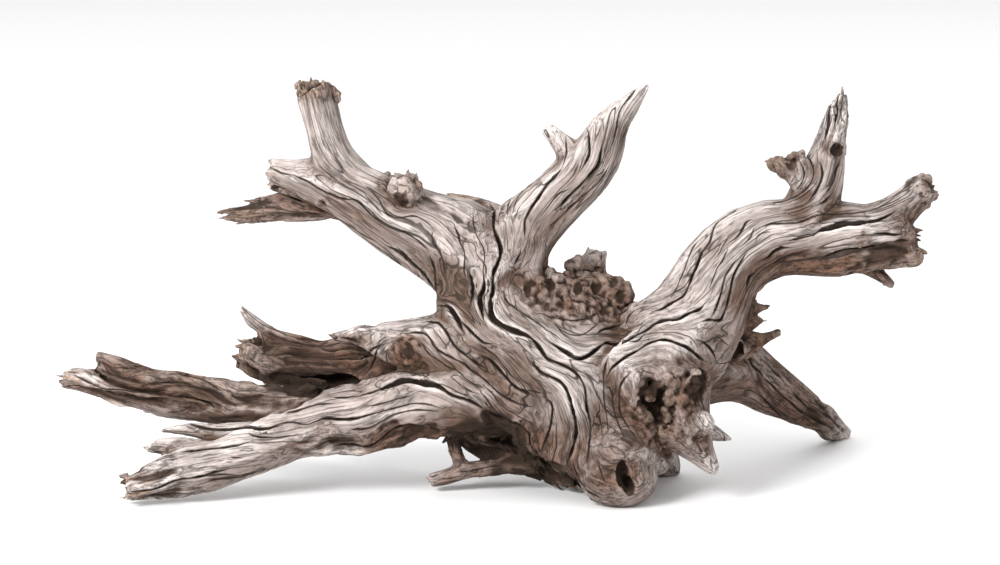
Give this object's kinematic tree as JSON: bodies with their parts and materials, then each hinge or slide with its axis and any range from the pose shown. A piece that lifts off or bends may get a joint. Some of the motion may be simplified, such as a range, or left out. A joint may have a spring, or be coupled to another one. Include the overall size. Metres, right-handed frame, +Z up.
{
  "type": "piece of driftwood",
  "caption": "Weathered root crown with broken limbs spreading up and out, hollow knots and torn ends, resting on its knob and root tips.",
  "frame": {"origin": "middle of the worn flat spot under the front knob, where the piece stands on the ground", "axes": "+Z up; +X to the right along the length, towards the limb with the splintered upright; +Y to the back, away from the big knot"},
  "size_m": [0.8803, 0.3273, 0.4211],
  "materials": {
    "weathered_wood": "bleached silver-grey and dry, with long open cracks and dark brown rotten hollows"
  },
  "bodies": {
    "root": {"driftwood": "weathered_wood"}
  },
  "joints": []
}
